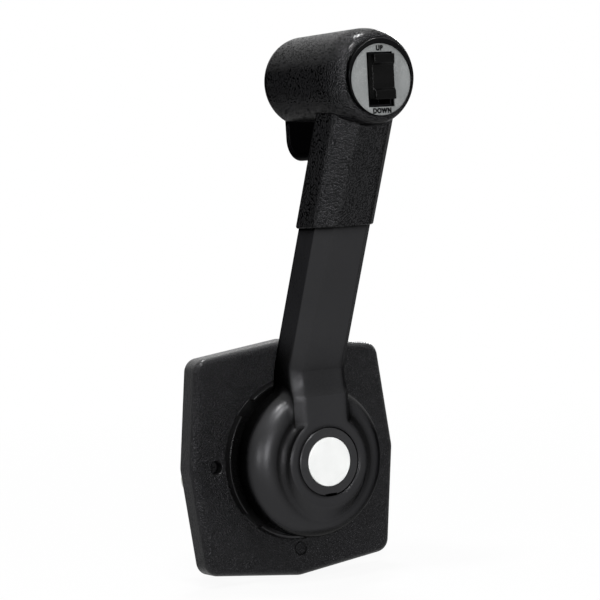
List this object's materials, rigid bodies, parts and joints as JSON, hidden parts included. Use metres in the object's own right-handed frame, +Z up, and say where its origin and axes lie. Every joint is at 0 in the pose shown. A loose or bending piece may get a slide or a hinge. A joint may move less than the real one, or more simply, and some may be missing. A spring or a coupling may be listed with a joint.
{
  "type": "boat throttle and shift control",
  "caption": "Side-mount boat control: a cranked lever with barrel grip, lock trigger and trim rocker turns on an octagonal plate and works shift and throttle arms.",
  "frame": {"origin": "where the lever's turning axis meets the panel face, the centre of the four panel screws", "axes": "+Z up, -Y out of the panel towards the helm, +X aft along the panel"},
  "size_m": [0.1519, 0.1883, 0.2972],
  "materials": {
    "plate_black": "fine-grained black moulding",
    "lever_black": "die-cast, satin black paint",
    "cap_black": "smooth satin black moulding",
    "grip_black": "leather-grained soft black rubber",
    "trigger_black": "satin black nylon",
    "rocker_black": "glossy black moulding",
    "label_grey": "silver-grey satin plate",
    "button_white": "off-white moulding",
    "cast_alloy": "as-cast aluminium",
    "steel": "turned stainless steel",
    "zinc_plate": "zinc-plated pressed steel",
    "bush_bronze": "oil-filled bronze",
    "shoe_nylon": "natural nylon",
    "switch_body": "black thermoset moulding"
  },
  "bodies": {
    "base": {"face_plate": "plate_black", "hub_ring": "plate_black", "panel_screws": "steel", "screw_plugs": "plate_black", "chassis": "cast_alloy", "chassis_screws": "steel", "lock_sleeve": "steel", "front_bush": "bush_bronze", "rear_bush": "bush_bronze", "sector_bushes": "bush_bronze", "rear_plate": "zinc_plate", "rear_screws": "steel", "friction_shoe": "shoe_nylon", "friction_screw": "steel", "friction_nut": "steel", "cable_bracket": "zinc_plate", "neutral_switch": "switch_body", "switch_screws": "steel"},
    "lever": {"lever_arm": "lever_black", "main_shaft": "steel", "pinion": "steel", "clutch_sleeve": "steel", "throttle_arm": "zinc_plate", "throttle_nut": "steel", "hub_nut": "steel", "hub_washer": "steel", "hub_cap": "cap_black", "grip_sleeve": "grip_black", "grip_body": "grip_black", "grip_screws": "steel", "switch_cap": "cap_black", "label_disc": "label_grey", "switch_housing": "switch_body", "rocker_pin": "steel", "lock_spring": "steel", "button_spring": "steel"},
    "trigger": {"lock_trigger": "trigger_black", "lock_rod": "steel", "rod_clip": "steel"},
    "rocker": {"trim_rocker": "rocker_black"},
    "button": {"warmup_button": "button_white", "clutch_pin": "steel"},
    "shift": {"shift_sector": "steel", "sector_shaft": "steel", "shift_arm": "zinc_plate", "shift_nut": "steel"}
  },
  "joints": [
    {"name": "lever_turn", "type": "hinge", "parent": "base", "child": "lever", "pos_m": [0, 0, 0], "axis": [0, -1, 0], "range_deg": [-75, 85]},
    {"name": "trigger_lift", "type": "slide", "parent": "lever", "child": "trigger", "axis": [0, -0.4147, 0.91], "range_m": [0, 0.006], "stiffness_N_per_m": 800, "springref_m": -0.005, "deforming": ["lock_spring"]},
    {"name": "rocker_tilt", "type": "hinge", "parent": "lever", "child": "rocker", "pos_m": [0, -0.1135, 0.20522], "axis": [1, 0, 0], "range_deg": [-8, 8], "stiffness_Nm_per_rad": 0.3},
    {"name": "button_press", "type": "slide", "parent": "lever", "child": "button", "axis": [0, 1, 0], "range_m": [0, 0.0035], "stiffness_N_per_m": 600, "springref_m": -0.004, "deforming": ["button_spring"]},
    {"name": "shift_turn", "type": "hinge", "parent": "base", "child": "shift", "pos_m": [0, 0, -0.0315], "axis": [0, -1, 0], "range_deg": [-42.5, 37.5]}
  ],
  "couplings": [
    {"joint": "shift_turn", "follows": "lever_turn", "ratio": -0.5}
  ]
}
